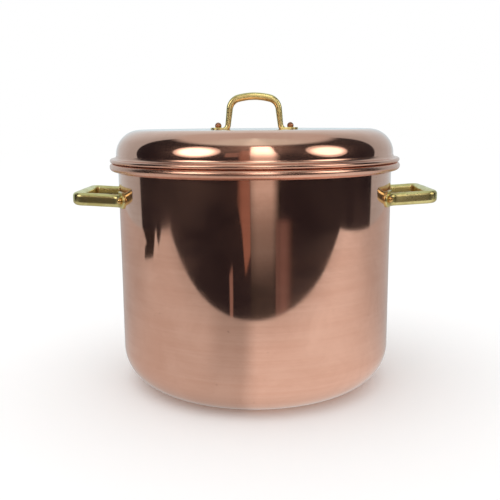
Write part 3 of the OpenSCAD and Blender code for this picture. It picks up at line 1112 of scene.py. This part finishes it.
@dataclass
class LidHandle:
    """The cast arched handle of the lid, whose tapered legs flare into two feet."""

    lid_top: float = 279.9 * MM
    rise: float = 39.6 * MM
    arch_r: float = 75 * MM
    bend_gap: float = 27.2 * MM
    bend_r: float = 17 * MM
    splay: float = 5
    top_t: float = 8.2 * MM
    leg_t: float = 6.3 * MM
    depth: float = 11 * MM
    edge: float = 2.4 * MM
    flare: float = 3.6 * MM
    foot_t: float = 1.8 * MM
    foot_w: float = 17 * MM
    bite: float = 0.05 * MM
    arch_start: float = 89.9    # degrees, just right of the axis, so that its halves don't meet
    bend_skip: float = 3        # degrees of the bend that are left out where the arch ends
    arch_steps: int = 8
    bend_steps: int = 20
    flare_steps: int = 12
    head_room: float = 4.2 * MM
    foot_soft: float = 0.55 * MM    # radius of the rounded edge of a foot
    filed_depth: float = 0.12 * MM
    filed_length: float = 11 * MM

    @property
    def arch_at(self) -> tuple[float, float]:
        """Centre of the arched top."""
        return (0.0, self.lid_top + self.rise - self.arch_r)

    @property
    def bend_angle(self) -> float:
        """Half of the angle of the arched top, in degrees."""
        return math.degrees(math.asin(self.bend_gap / 2 / (self.arch_r - self.bend_r)))

    @property
    def bend_at(self) -> tuple[float, float]:
        """Centre of the right bend.

        Returns:
            Its X and height.
        """
        turn = math.radians(self.bend_angle)
        run = self.arch_r - self.bend_r
        return (self.arch_at[0] + run * math.sin(turn), self.arch_at[1] + run * math.cos(turn))

    @property
    def flare_at(self) -> tuple[float, float]:
        """Centre of the flare of the right leg.

        Returns:
            Its X and height.
        """
        lean = math.radians(self.splay)
        out = (math.cos(lean), math.sin(lean))
        down = (math.sin(lean), -math.cos(lean))
        top = (self.bend_at[0] + self.bend_r * out[0], self.bend_at[1] + self.bend_r * out[1])
        level = self.lid_top + self.foot_t + self.flare - self.bite
        length = (level - top[1] - self.flare * out[1]) / down[1]
        return (top[0] + length * down[0] + self.flare * out[0], level)

    @property
    def rivet_x(self) -> float:
        """Distance of a rivet from the axis."""
        return self.flare_at[0] + self.head_room

    def stations(self) -> list[Station]:
        """Stations from the left foot over the arch to the right foot.

        Returns:
            The stations, in X and height.
        """
        top, mid = (self.top_t, self.top_t), (self.top_t + self.leg_t) / 2
        arch_end = 90 - self.bend_angle
        side = arc_stations(self.arch_at, self.arch_r, self.arch_start, arch_end,
                            self.arch_steps, top)
        side += arc_stations(self.bend_at, self.bend_r, arch_end - self.bend_skip,
                             self.splay, self.bend_steps, (self.top_t, mid))
        side += arc_stations(self.flare_at, -self.flare, self.splay, 90, self.flare_steps,
                             (self.leg_t, self.leg_t))
        left = [Station(-s.x, s.y, math.pi - s.angle, s.thick) for s in reversed(side)]
        return close_up(left + side, BAR_STEP)

    def foot(self, side: int) -> bpy.types.Object:
        """One foot on the lid.

        Args:
            side: 1 for the right foot, -1 for the left foot.

        Returns:
            The foot, closed.
        """
        half = self.foot_w / 2
        reach = self.rivet_x - (self.flare_at[0] - self.flare - self.leg_t / 2)
        outline = foot_outline(half, reach)
        rings = []
        for z, inset in foot_layers(self.lid_top, self.lid_top + self.foot_t, self.foot_soft):
            shrink = (half - inset) / half
            ring = [(t * shrink if t > 0 else t + inset if t < -reach / 2 else t, h * shrink)
                    for t, h in outline]
            rings.append([Vector((side * (self.rivet_x + t), h, z)) for t, h in ring])
        return loft(f"lid_foot_{side}", rings, clockwise=False)

    def build(self, brass: bpy.types.Material) -> None:
        """Builds the handle.

        Args:
            brass: Finish of the casting.
        """
        handle = cast_bar("lid_handle_casting", self.stations(), self.depth, self.edge)
        handle.data.transform(Matrix.Rotation(math.radians(90), 4, "X"))
        weld(handle, [self.foot(1), self.foot(-1)])
        hand_finish(handle.data, self.filed_depth, self.filed_length, 2.0, 0.0)
        for v in handle.data.vertices:
            v.co.z = max(v.co.z, self.lid_top)
        finish_casting(handle, brass, Body.LID, "lid_handle")


# ---------------------------------------------------------------- rivets

HAMMER_MM = 2.2             # width of the flats that the hammer leaves on a rivet
HAMMER_DEPTH = 0.16 * MM


@dataclass(frozen=True)
class RivetSize:
    """Sizes of a rivet in metres: round head, shank and hammered tail."""

    head_r: float
    head_h: float
    shank_r: float
    shank_l: float
    tail_r: float
    tail_h: float


def rivet_tree() -> bpy.types.NodeTree:
    """Builds the tree that sets a hammered rivet on each seat.

    A seat is a point with the attribute outward, the way its head looks.

    Returns:
        The geometry node tree.
    """
    sizes = ("Head Radius", "Head Height", "Shank Radius", "Shank Length", "Tail Radius",
             "Tail Height", "Hammer Depth")
    tree, given = make_tree("set_rivets", {
        "Seats": "Geometry", **dict.fromkeys(sizes, "Float"), "Seed": "Int",
        "Finish": "Material"}, "Rivets")
    ball = add(tree, "GeometryNodeMeshUVSphere", 32, 20, given["Head Radius"])
    head = add(tree, "GeometryNodeTransform", ball, add(tree, "ShaderNodeCombineXYZ", inputs={
        "Z": add(tree, Work.MINUS, given["Head Height"], given["Head Radius"])}))
    rod = add(tree, "GeometryNodeMeshCylinder", inputs={
        "Vertices": 24, "Radius": given["Shank Radius"], "Depth": given["Shank Length"]})
    shank = add(tree, "GeometryNodeTransform", rod, add(tree, "ShaderNodeCombineXYZ", inputs={
        "Z": add(tree, Work.TIMES, given["Shank Length"], -0.5)}))
    bead = add(tree, "GeometryNodeMeshUVSphere", 32, 12, 1.0)
    tail = add(tree, "GeometryNodeTransform", bead, inputs={
        "Translation": add(tree, "ShaderNodeCombineXYZ", inputs={
            "Z": add(tree, Work.TIMES, given["Shank Length"], -1.0)}),
        "Scale": add(tree, "ShaderNodeCombineXYZ", given["Tail Radius"], given["Tail Radius"],
                     given["Tail Height"])})
    joined = add(tree, "GeometryNodeJoinGeometry")
    for part in (tail, shank, head):
        tree.links.new(part.outputs[0], joined.inputs[0])
    roll = add(tree, "FunctionNodeRandomValue", 0.0, math.tau, data_type="FLOAT",
               inputs={"Seed": given["Seed"]})
    spun = add(tree, "FunctionNodeAxisAngleToRotation", (0, 0, 1), roll)
    outward = add(tree, "GeometryNodeInputNamedAttribute", "outward", data_type="FLOAT_VECTOR")
    aimed = add(tree, "FunctionNodeAlignRotationToVector", axis="Z", inputs={
        "Rotation": spun, "Vector": outward})
    placed = add(tree, "GeometryNodeInstanceOnPoints", inputs={
        "Points": given["Seats"], "Instance": joined, "Rotation": aimed})
    real = add(tree, "GeometryNodeRealizeInstances", placed)
    dents = add(tree, "ShaderNodeTexVoronoi", feature="SMOOTH_F1", inputs={
        "Vector": add(tree, "GeometryNodeInputPosition"), "Scale": per_metre(HAMMER_MM)})
    press = add(tree, Work.TIMES, add(tree, Work.MINUS, dents, DENTED_IN),
                given["Hammer Depth"])
    offset = add(tree, Work.STRETCH, add(tree, "GeometryNodeInputNormal"), press)
    beaten = add(tree, "GeometryNodeSetPosition", inputs={"Geometry": real, "Offset": offset})
    done = add(tree, "GeometryNodeSetMaterial", inputs={
        "Geometry": beaten, "Material": given["Finish"]})
    add(tree, "NodeGroupOutput", done)
    return tree


def set_rivets(name: str, seats: list[tuple[Vector, Vector]], size: RivetSize, seed: int,
               tree: bpy.types.NodeTree, finish: bpy.types.Material) -> bpy.types.Object:
    """Sets one rivet on each seat and joins them into a piece.

    Args:
        name: Name of the piece.
        seats: Place and outward direction of each rivet.
        size: Sizes of the rivet.
        seed: Number that sets how the rivets are turned.
        tree: Tree made by rivet_tree.
        finish: Material of the rivets.

    Returns:
        The finished piece.
    """
    mesh = bpy.data.meshes.new(name)
    mesh.from_pydata([tuple(at) for at, _ in seats], [], [])
    flat = [c for _, out in seats for c in out]
    mesh.attributes.new("outward", "FLOAT_VECTOR", "POINT").data.foreach_set("vector", flat)
    piece = link_object(name, mesh)
    run_tree(piece, tree, {
        "Head Radius": size.head_r, "Head Height": size.head_h, "Shank Radius": size.shank_r,
        "Shank Length": size.shank_l, "Tail Radius": size.tail_r, "Tail Height": size.tail_h,
        "Hammer Depth": HAMMER_DEPTH, "Seed": seed, "Finish": finish})
    shade(piece.data, RIVET_CREASE)
    return piece


@dataclass
class Rivets:
    """Four rivets through the side and two through the top of the lid."""

    handles: SideHandles
    bail: LidHandle
    side_size: RivetSize = RivetSize(3.7 * MM, 4.7 * MM, 2.4 * MM, 3.75 * MM, 4.2 * MM, 1.3 * MM)
    lid_size: RivetSize = RivetSize(3.7 * MM, 5.6 * MM, 2.4 * MM, 3.05 * MM, 4.2 * MM, 1.3 * MM)

    def build(self, golden: bpy.types.Material, brown: bpy.types.Material) -> None:
        """Sets the rivets of both bodies.

        Args:
            golden: Finish of the rivets of the side handles.
            brown: Finish of the rivets of the lid.
        """
        tree = rivet_tree()
        seats = []
        for side in (-1, 1):
            for end in (-1, 1):
                turn = self.handles.rivet_angle
                out = Vector((side * math.cos(turn), end * math.sin(turn), 0))
                at = out * self.handles.face_r + Vector((0, 0, self.handles.foot_z))
                seats.append((at, out))
        side = set_rivets("side_rivets", seats, self.side_size, 4, tree, golden)
        finish_piece(side, Body.KETTLE, "side_rivets", "left_front_rivet", "left_rear_rivet",
                     "right_front_rivet", "right_rear_rivet")
        level = self.bail.lid_top + self.bail.foot_t
        seats = [(Vector((s * self.bail.rivet_x, 0, level)), Vector((0, 0, 1))) for s in (-1, 1)]
        top = set_rivets("lid_rivets", seats, self.lid_size, 9, tree, brown)
        finish_piece(top, Body.LID, "lid_rivets", "lid_left_rivet", "lid_right_rivet")


# ---------------------------------------------------------------- joining the frame


def finish_piece(piece: bpy.types.Object, body: Body, slot: str, *nodes: str) -> None:
    """Puts a piece on its body and in the place of its nodes.

    Args:
        piece: Finished piece.
        body: Body that it rides on.
        slot: Not used.
        *nodes: CAD nodes that it stands for.
    """
    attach(piece, body.value)
    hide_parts(*nodes)
    LOG.info("%s rides on %s for %s: %d faces", piece.name, body.value, ", ".join(nodes),
             len(piece.data.polygons))


def dress_node(node: str, material: bpy.types.Material) -> None:
    """Gives a CAD node that stays its finished material.

    Args:
        node: Name of the node.
        material: Its material.
    """
    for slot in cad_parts[node].material_slots:
        slot.material = material
    LOG.info("%s keeps its shape and takes %s", node, material.name)


# ---------------------------------------------------------------- studio


@dataclass(frozen=True)
class Panel:
    """Flat piece of the mirrored room.

    It stands in front of the kettle, with its outline in X and Z, or lies on the table, with
    its outline in X and Y.
    """

    name: str
    outline: tuple[tuple[float, float], ...]
    colour: str
    power: Callable | float = 1.0
    lying: bool = False


def daylight(tree: bpy.types.NodeTree, place: object) -> bpy.types.Node:
    """Strength of the window: most at its top, fading down and to its sides.

    Args:
        tree: Tree that takes the nodes.
        place: X, Y and Z sockets.

    Returns:
        Node of the strength.
    """
    heights = fades(tree, Work.PLUS, (place[2], Fade(-0.13, 0.0, 0.03, 0.24)),
                    (place[2], Fade(0.0, 0.2, 0.0, 0.58)),
                    (place[2], Fade(0.25, 0.95, 0.0, 2.7)))
    sides = fades(tree, Work.TIMES, (place[0], Fade(-0.12, 0.05, 0.45, 1.0)),
                  (place[0], Fade(0.24, 0.41, 1.0, 0.02)))
    return add(tree, Work.TIMES, sides, heights)


def sideways(fade: Fade) -> Callable:
    """Strength that fades along X, as a Panel takes it."""
    return lambda tree, place: add(tree, Work.FADE, place[0], *fade)


# The window and the door share an upright plane, so they meet between them and don't overlap.
PANELS = (
    Panel("studio_window", ((-0.065, -0.5), (0.41, -0.5), (0.41, 0.4), (0.34, 0.9),
                            (0.34, 1.62), (-0.065, 1.55)), "#FFF6EE", daylight),
    Panel("studio_door", ((-0.25, 1.0), (-0.07, 1.0), (-0.07, -0.03), (-0.15, -0.08),
                          (-0.2, 0.03), (-0.28, 0.1), (-0.235, 0.17)), "#967062",
          sideways(Fade(-0.28, -0.18, 0.3, 1.0))),
    Panel("studio_stand", ((-1.33, 0.22), (-1.11, 0.07), (-1.06, 0.11), (-0.9, 0.09),
                           (-0.94, -0.08), (-1.17, -0.12), (-1.34, -0.14)), "#241D1B",
          lying=True),
    Panel("studio_stool", ((-1.34, -0.19), (-1.32, -0.3), (-1.16, -0.24), (-1.09, -0.2),
                           (-1.23, -0.17)), "#241D1B", lying=True),
    Panel("studio_shelf", ((-0.48, 0.42), (-0.25, 0.42), (-0.25, 0.78), (-0.48, 0.78)),
          "#86706A"),
    Panel("studio_chest", ((0.33, -0.4), (0.66, -0.4), (0.66, 0.03), (0.33, 0.05)), "#755F5B",
          sideways(Fade(0.48, 0.66, 1.0, 0.15))),
    Panel("studio_cloth", ((-0.41, -0.3), (-0.36, -0.3), (-0.36, -0.07), (-0.42, -0.1)),
          "#917B75"),
)


@dataclass(frozen=True)
class SoftBox:
    """Round soft box of the mirrored room, which fades towards its rim."""

    name: str
    aim: tuple[float, float]     # its direction from the lid: sideways and up, in degrees
    half: tuple[float, float]    # half of its angle across and up, in degrees
    strength: float              # in its middle
    rim: float = 0.8             # strength at its rim
    flat: float = 0.5            # share of its half width that has the full strength
    sides: int = 48


SOFT_BOXES = (SoftBox("studio_box_left", (-47.5, 24.0), (18.5, 20.0), 3.4),
              SoftBox("studio_box_right", (60.0, 22.0), (17.0, 20.0), 3.0))


@dataclass
class Studio:
    """Pale floor, soft light and camera, with the room that the polished metal mirrors.

    Angles around the kettle run from the front to the right, in radians where a fade reads
    them and in degrees elsewhere. The room, its table and its panels are seen by no ray but
    those that polished metal mirrors, so they neither light nor shade the object.
    """

    camera_at: tuple[float, float, float] = (0.0, -0.7977, 0.2872)
    pitch: float = 10.195
    yaw: float = 0.41
    roll: float = 0.39
    lens: float = 51.12
    sensor: float = 36.0
    floor_half: float = 6.0
    floor_level: float = -0.2 * MM
    lamp_at: tuple[float, float, float] = (-0.6, -0.5, 1.9)
    lamp_aim: tuple[float, float, float] = (0.0, 0.0, 0.12)
    lamp_size: float = 1.6
    lamp_watts: float = 5.0
    room_r: float = 2.4
    room_turn: float = 1.5       # where the middle of the dark side lies
    room_side: float = 104.8     # where the dark side ends, at the height of the table
    room_lean: float = 12.5      # how much further it reaches at the height of the radius
    table_half: float = 1.32
    table_edge: float = -0.512
    table_back: float = 1.8
    table_level: float = -0.4 * MM
    panel_away: float = 1.2
    box_away: float = 1.7
    box_level: float = 0.26

    def camera(self) -> None:
        """Sets the camera at its viewing angle."""
        data = bpy.data.cameras.new("camera")
        data.lens = self.lens
        data.sensor_width = self.sensor
        camera = link_object("camera", data)
        turn = (Matrix.Rotation(math.radians(self.yaw), 4, "Z")
                @ Matrix.Rotation(math.radians(90 - self.pitch), 4, "X")
                @ Matrix.Rotation(math.radians(-self.roll), 4, "Z"))
        camera.matrix_world = Matrix.Translation(self.camera_at) @ turn
        bpy.context.scene.camera = camera

    def world(self) -> None:
        """Lights the scene evenly with plain white, which also stands behind the object."""
        world = bpy.data.worlds.new("studio")
        bpy.context.scene.world = world
        world.use_nodes = True
        tree = world.node_tree
        tree.nodes.clear()
        add(tree, "ShaderNodeOutputWorld", add(tree, "ShaderNodeBackground", "#FFFFFF", 1.0))

    def lamp(self) -> None:
        """Adds a soft lamp above the object, for the shadow on the floor."""
        data = bpy.data.lights.new("lamp_top", "AREA")
        data.size = self.lamp_size
        data.energy = self.lamp_watts
        lamp = link_object("lamp_top", data)
        lamp.location = self.lamp_at
        lamp.rotation_euler = (Vector(self.lamp_aim) - Vector(self.lamp_at)).to_track_quat(
            "-Z", "Y").to_euler()
        lamp.visible_glossy = False

    def plane(self, name: str, corners: list[tuple[float, float, float]],
              material: bpy.types.Material, mirrored_only: bool = True) -> bpy.types.Object:
        """Adds a flat stage piece.

        Args:
            name: Name of the piece.
            corners: Its corners in order.
            material: Its material.
            mirrored_only: Whether only polished metal sees it.

        Returns:
            The piece.
        """
        mesh = bpy.data.meshes.new(name)
        mesh.from_pydata(corners, [], [tuple(range(len(corners)))])
        mesh.materials.append(material)
        piece = link_object(name, mesh)
        if mirrored_only:
            self.leave_to_mirrors(piece)
        return piece

    def leave_to_mirrors(self, piece: bpy.types.Object) -> None:
        """Leaves a stage piece only to what polished metal mirrors.

        Args:
            piece: Stage piece.
        """
        piece.visible_camera = False
        piece.visible_diffuse = False
        piece.visible_shadow = False

    def glow(self, name: str, colour: str, power: Callable | float) -> bpy.types.Material:
        """Makes a material that gives off light.

        Args:
            name: Name of the material.
            colour: Its colour.
            power: Its strength, or a function of the tree and the X, Y, Z sockets that
                returns the node of its strength.

        Returns:
            The material.
        """
        def surface(tree: bpy.types.NodeTree) -> bpy.types.Node:
            """Builds the shader that gives off the light.

            Args:
                tree: Empty tree of the material.

            Returns:
                The shader.
            """
            if not callable(power):
                return add(tree, "ShaderNodeEmission", colour, power)
            place = add(tree, "ShaderNodeTexCoord").outputs["Object"]
            apart = add(tree, "ShaderNodeSeparateXYZ", place).outputs
            return add(tree, "ShaderNodeEmission", colour, power(tree, apart))

        return make_material(name, surface)

    def room_light(self, tree: bpy.types.NodeTree) -> bpy.types.Node:
        """Builds the walls of the mirrored room: dark in front, pale behind and above.

        Args:
            tree: Empty tree of the material.

        Returns:
            The shader.
        """
        place = add(tree, "ShaderNodeTexCoord").outputs["Object"]
        apart = add(tree, "ShaderNodeSeparateXYZ", place).outputs
        turn = add(tree, Work.ANGLE, apart[0], add(tree, Work.TIMES, apart[1], -1.0))
        side = add(tree, Work.SIZE, add(tree, Work.MINUS, turn, math.radians(self.room_turn)))
        rise = add(tree, Work.OVER, apart[2], self.room_r)
        edge = add(tree, Work.PLUS, math.radians(self.room_side),
                   add(tree, Work.TIMES, rise, math.radians(self.room_lean)))
        back = add(tree, Work.FADE, add(tree, Work.MINUS, side, edge),
                   *Fade(-0.012, 0.012, 0.0, 1.0))
        around = add(tree, Work.FADE, side, *Fade(math.radians(105), math.radians(178), 0.0, 1.0))
        pale = add(tree, Work.MIX, around, "#B4C3C9", "#E0F1F7")
        high = fades(tree, Work.TIMES, (rise, Fade(0.3, 0.8, 0.0, 1.0)),
                     (side, Fade(0.15, 0.9, 1.0, 0.0)))
        dark = add(tree, Work.MIX, high, "#201C22", "#7A6C66")
        wall = add(tree, Work.MIX, back, dark, pale)
        ceiling = add(tree, Work.MIX, add(tree, Work.FADE, side, *Fade(0.3, 1.7, 0.0, 1.0)),
                      "#DCF0EF", "#CAD0D1")
        shell = add(tree, Work.MIX, add(tree, Work.FADE, rise, *Fade(0.79, 0.88, 0.0, 1.0)),
                    wall, ceiling)
        over = fades(tree, Work.TIMES, (side, Fade(0.05, 0.35, 0.3, 0.0)),
                     (rise, Fade(0.62, 0.8, 0.0, 1.0)))
        return add(tree, "ShaderNodeEmission", shell, add(tree, Work.PLUS, over, 1.0))

    def table_light(self, tree: bpy.types.NodeTree, place: object) -> bpy.types.Node:
        """Strength of the mirrored table, with painted shade: a painted shadow of the kettle on
        its left, less light behind and at its edge, and painted contact shade close by.

        Args:
            tree: Tree that takes the nodes.
            place: X, Y and Z sockets.

        Returns:
            Node of the strength.
        """
        turn = add(tree, Work.ANGLE, place[0], add(tree, Work.TIMES, place[1], -1.0))
        away = add(tree, Work.ROOT, join(tree, Work.PLUS, *(
            add(tree, Work.POWER, place[k], 2.0) for k in (0, 1))))
        # Painted shadow of the kettle on the table: a dip and a step in strength along the angle
        # around it.
        painted_shadow_dip = fades(tree, Work.TIMES, (turn, Fade(-0.62, -0.36, 0.0, 0.12)),
                    (turn, Fade(-0.17, 0.05, 1.0, 0.0)), (away, Fade(0.2, 0.36, 0.25, 1.0)))
        step = add(tree, Work.FADE, turn, *Fade(-0.17, 0.05, 0.66, 0.91))
        # Painted falloff of light on the right, behind and at the front edge, and painted contact
        # shade close to the base.
        right, behind, ahead, painted_contact_shade = (add(tree, Work.FADE, read, *fade) for read, fade in (
            (turn, Fade(0.8, 2.2, 1.0, 0.725)), (place[1], Fade(-0.15, 0.25, 1.0, 0.8)),
            (place[1], Fade(self.table_edge, self.table_edge + 0.2, 0.84, 1.0)),
            (away, Fade(0.10, 0.17, 0.72, 1.0))))
        return join(tree, Work.TIMES, add(tree, Work.MINUS, step, painted_shadow_dip), right, behind, ahead,
                    painted_contact_shade)

    def square(self, half: float, front: float, back: float, level: float
               ) -> list[tuple[float, float, float]]:
        """Corners of a level square or oblong, by its half width, its front and its back."""
        return [(-half, front, level), (half, front, level), (half, back, level),
                (-half, back, level)]

    def panel(self, panel: Panel) -> None:
        """Adds a panel of the mirrored room.

        Args:
            panel: What it is.
        """
        corners = [(u, v, 0.0) if panel.lying else (u, -self.panel_away, v)
                   for u, v in panel.outline]
        self.plane(panel.name, corners,
                   self.glow(f"{panel.name}_light", panel.colour, panel.power))

    def soft_box(self, box: SoftBox) -> None:
        """Adds a round soft box that faces the object.

        Args:
            box: What it is.
        """
        turn, up_turn = (math.radians(v) for v in box.aim)
        wide, tall = (self.box_away * math.tan(math.radians(v)) for v in box.half)
        out = Vector((math.sin(turn) * math.cos(up_turn), -math.cos(turn) * math.cos(up_turn),
                      math.sin(up_turn)))
        across = Vector((math.cos(turn), math.sin(turn), 0))
        up = across.cross(out) * -1
        up = up if up.z > 0 else -up
        middle = out * self.box_away + Vector((0, 0, self.box_level))
        around = [math.tau * k / box.sides for k in range(box.sides)]
        corners = [tuple(middle + across * wide * math.cos(a) + up * tall * math.sin(a))
                   for a in around]

        def fading(tree: bpy.types.NodeTree, place: object) -> bpy.types.Node:
            """Strength that falls from the middle to the rim.

            Args:
                tree: Tree that takes the nodes.
                place: X, Y and Z sockets.

            Returns:
                Node of the strength.
            """
            gap = add(tree, Work.ROOT, join(tree, Work.PLUS, *(
                add(tree, Work.POWER, add(tree, Work.MINUS, place[k], middle[k]), 2.0)
                for k in range(3))))
            return add(tree, Work.FADE, gap, *Fade(box.flat * wide, wide, box.strength, box.rim))

        self.plane(box.name, corners, self.glow(f"{box.name}_light", "#FFF8F0", fading))

    def room(self) -> None:
        """Adds the mirrored room, with its table, its soft boxes, its window and its doors."""
        work = bmesh.new()
        bmesh.ops.create_uvsphere(work, u_segments=96, v_segments=48, radius=self.room_r)
        mesh = bpy.data.meshes.new("studio_room")
        work.to_mesh(mesh)
        work.free()
        mesh.materials.append(make_material("studio_room", self.room_light))
        shell = link_object("studio_room", mesh)
        self.leave_to_mirrors(shell)
        self.plane("studio_table", self.square(
            self.table_half, self.table_edge, self.table_back, self.table_level),
            self.glow("table_white", "#FFFFFD", self.table_light))
        for box in SOFT_BOXES:
            self.soft_box(box)
        for panel in PANELS:
            self.panel(panel)

    def build(self) -> None:
        """Builds the whole studio."""
        self.camera()
        self.world()
        matt = make_material("floor_matt_white", lambda tree: add(
            tree, "ShaderNodeBsdfDiffuse", "#FFFFFF"))
        floor = self.plane("studio_floor", self.square(
            self.floor_half, -self.floor_half, self.floor_half, self.floor_level), matt,
            mirrored_only=False)
        floor.visible_glossy = False
        self.lamp()
        self.room()
        bpy.context.scene.view_settings.view_transform = "Standard"


def main() -> None:
    """Builds the kettle, the lid, their handles and rivets, and the studio."""
    logging.basicConfig(level=logging.INFO, format="%(name)s: %(message)s")
    brass, tin, steel = CAST_BRASS.build(), WIPED_TIN.build(), DRAWN_STEEL.build()
    turned = spin_tree()
    pot_copper = TurnedCopper("copper_sheet_lathe_polished", Lay.UP_AND_OUT).build()
    lid_copper = TurnedCopper("copper_lid_lathe_polished", Lay.UP_AND_IN).build()
    KettlePot().build(turned, pot_copper, tin, steel)
    KettleLid().build(turned, lid_copper, tin, steel)
    handles, bail = SideHandles(), LidHandle()
    handles.build(brass)
    bail.build(brass)
    Rivets(handles, bail).build(GOLDEN_RIVET.build(), BROWN_RIVET.build())
    Studio().build()


if __name__ == "__main__":
    main()
